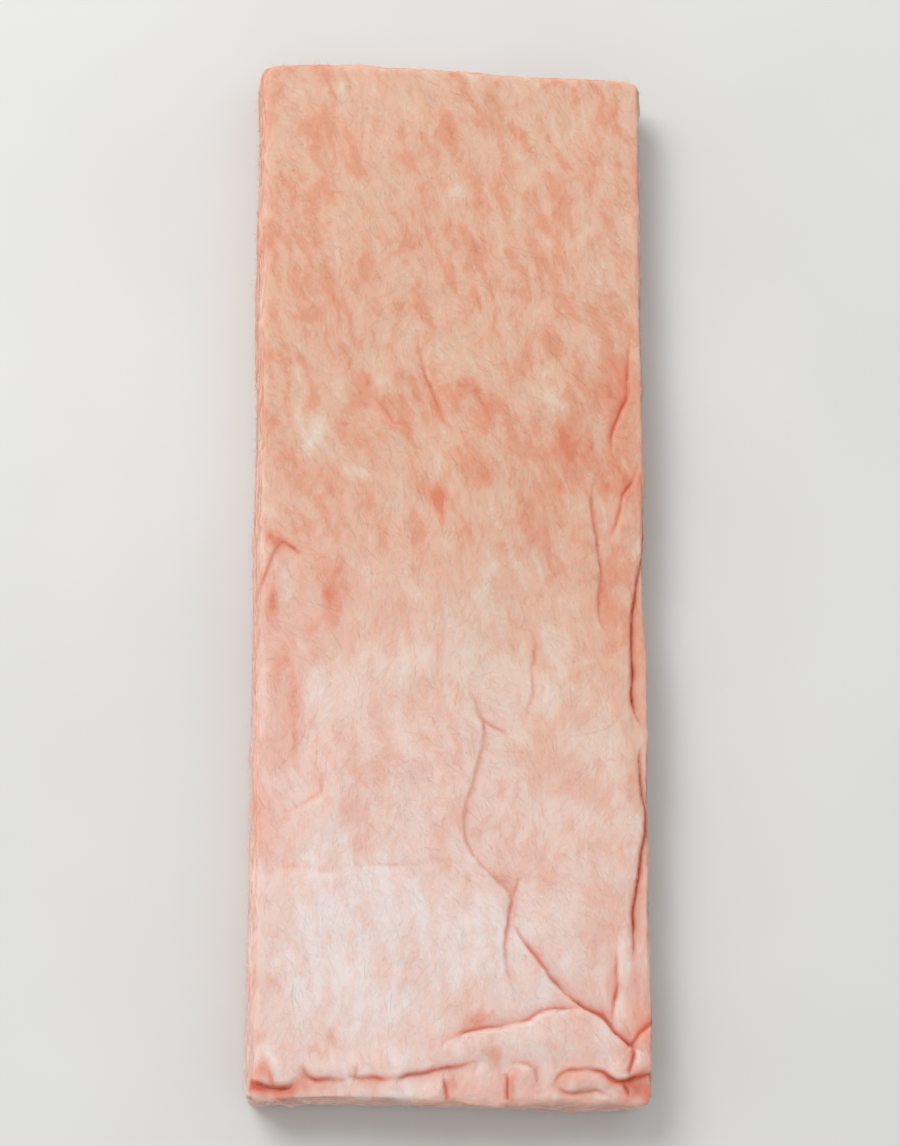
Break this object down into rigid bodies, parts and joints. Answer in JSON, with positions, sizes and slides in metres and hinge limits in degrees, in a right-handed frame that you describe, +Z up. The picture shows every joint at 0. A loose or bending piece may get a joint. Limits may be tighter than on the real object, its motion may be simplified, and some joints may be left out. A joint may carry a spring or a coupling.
{
  "type": "glass wool batt",
  "caption": "Unfaced glass wool wall batt: a soft rectangular slab with square-cut sides, rolled shoulders and a softly folded room face, lying flat.",
  "frame": {"origin": "centre of the back face, on the level surface that the batt lies on", "axes": "+X across the batt to its folded side, +Y along it towards its head end, +Z up from the back face to the room face"},
  "size_m": [0.43, 1.16, 0.0935],
  "materials": {
    "glass_wool": "matte felted glass fibre, mottled pale pink and off-white, deeper salmon in the folds"
  },
  "bodies": {
    "root": {"glass_wool_batt": "glass_wool"}
  },
  "joints": []
}
